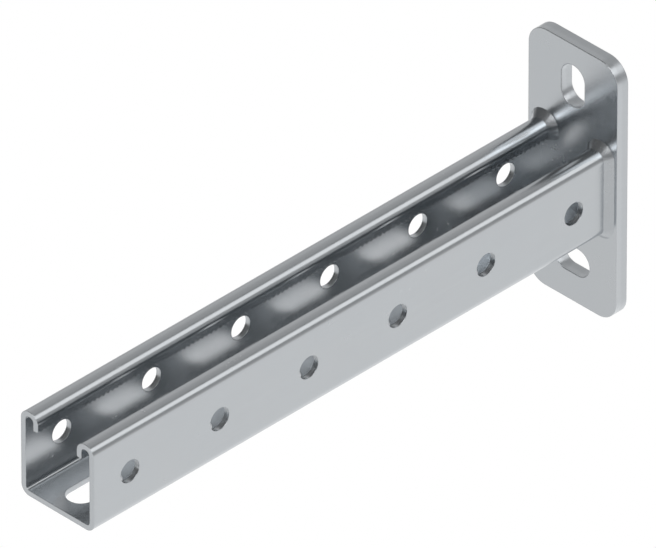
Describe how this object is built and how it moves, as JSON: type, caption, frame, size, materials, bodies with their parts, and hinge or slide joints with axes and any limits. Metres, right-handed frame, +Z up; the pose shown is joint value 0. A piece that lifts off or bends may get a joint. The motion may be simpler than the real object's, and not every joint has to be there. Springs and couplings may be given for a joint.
{
  "type": "cantilever strut arm",
  "caption": "Cantilever arm of lipped steel channel with side holes and floor slots, welded square to a slotted head plate for bolting to a wall.",
  "frame": {"origin": "middle of the head plate's wall face, at half the channel's height", "axes": "+X along the arm, away from the wall; +Z up, towards the open side of the channel; +Y across"},
  "size_m": [0.296, 0.05, 0.125],
  "materials": {
    "strip_steel": "bright zinc plating on rolled strip, semi-gloss",
    "plate_steel": "bright zinc plating on flat bar, semi-gloss",
    "weld_metal": "zinc plated weld bead, semi-gloss"
  },
  "bodies": {
    "root": {"channel": "strip_steel", "head_plate": "plate_steel", "weld_bead": "weld_metal"}
  },
  "joints": []
}
